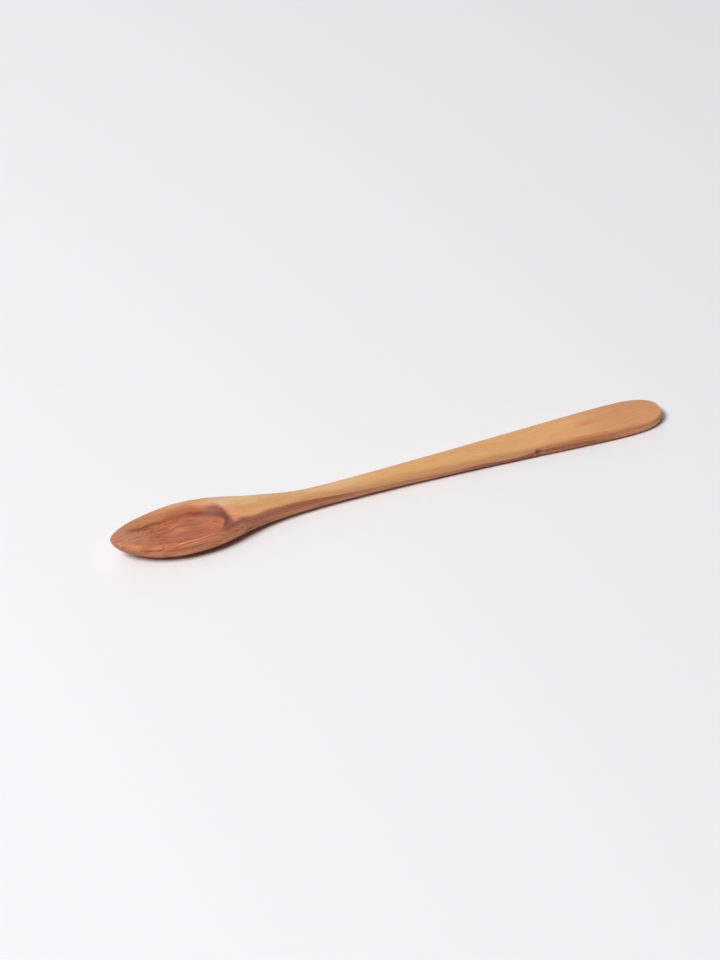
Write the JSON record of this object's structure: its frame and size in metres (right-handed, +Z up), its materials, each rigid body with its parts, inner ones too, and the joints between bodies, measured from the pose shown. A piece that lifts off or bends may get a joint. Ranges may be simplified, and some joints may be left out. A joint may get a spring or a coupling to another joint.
{
  "type": "jam spoon",
  "caption": "Slim jam spoon carved from one piece of olive wood, with a leaf-shaped hollowed bowl, a narrow neck and a flat handle that widens to a round end.",
  "frame": {"origin": "on the plane that the spoon rests on, under the middle of its length and width", "axes": "+X from the tip of the bowl to the end of the handle, +Y across the spoon, +Z up out of the hollow of the bowl"},
  "size_m": [0.22, 0.0244, 0.0089],
  "materials": {
    "olive_wood": "smooth sanded and oiled, satin"
  },
  "bodies": {
    "root": {"spoon_body": "olive_wood"}
  },
  "joints": []
}
